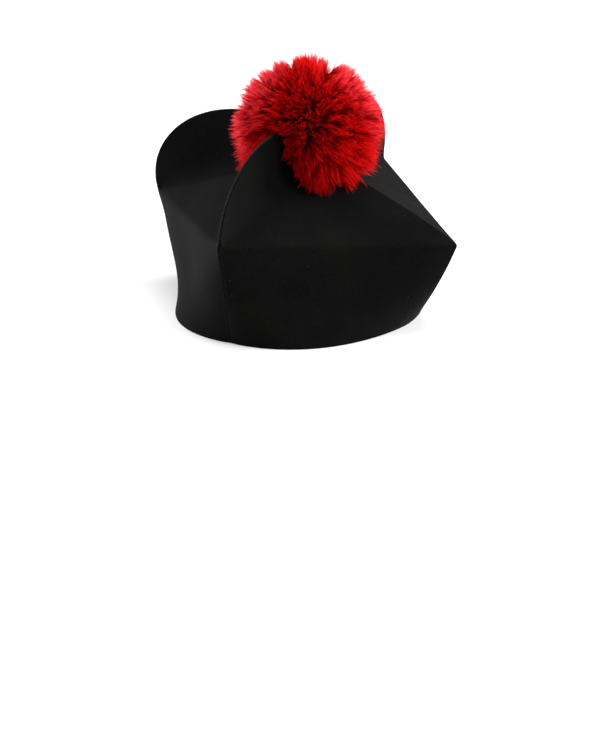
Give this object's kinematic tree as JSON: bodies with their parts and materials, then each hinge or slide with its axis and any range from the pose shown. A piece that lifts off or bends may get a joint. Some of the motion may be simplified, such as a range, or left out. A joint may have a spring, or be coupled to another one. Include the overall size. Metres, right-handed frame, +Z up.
{
  "type": "biretta",
  "caption": "Stiff square clerical cap of black cloth, open below, with upright flat horns on the crown at three corners and a large red yarn pompom over its middle.",
  "frame": {"origin": "on the surface that the rim stands on, under the tip of the crown where the four panels and the pompom meet", "axes": "+Z up; -Y to the front of the cap, over the wearer's forehead; +X to the wearer's left, the corner that has no horn"},
  "size_m": [0.2454, 0.2492, 0.1835],
  "materials": {
    "black_cloth": "matte black wool cloth, stiffened, with a fine plain weave",
    "red_yarn": "soft combed yarn in a deep scarlet red"
  },
  "bodies": {
    "root": {"panel_front_left": "black_cloth", "panel_back_left": "black_cloth", "panel_back_right": "black_cloth", "panel_front_right": "black_cloth", "pompom": "red_yarn"}
  },
  "joints": []
}
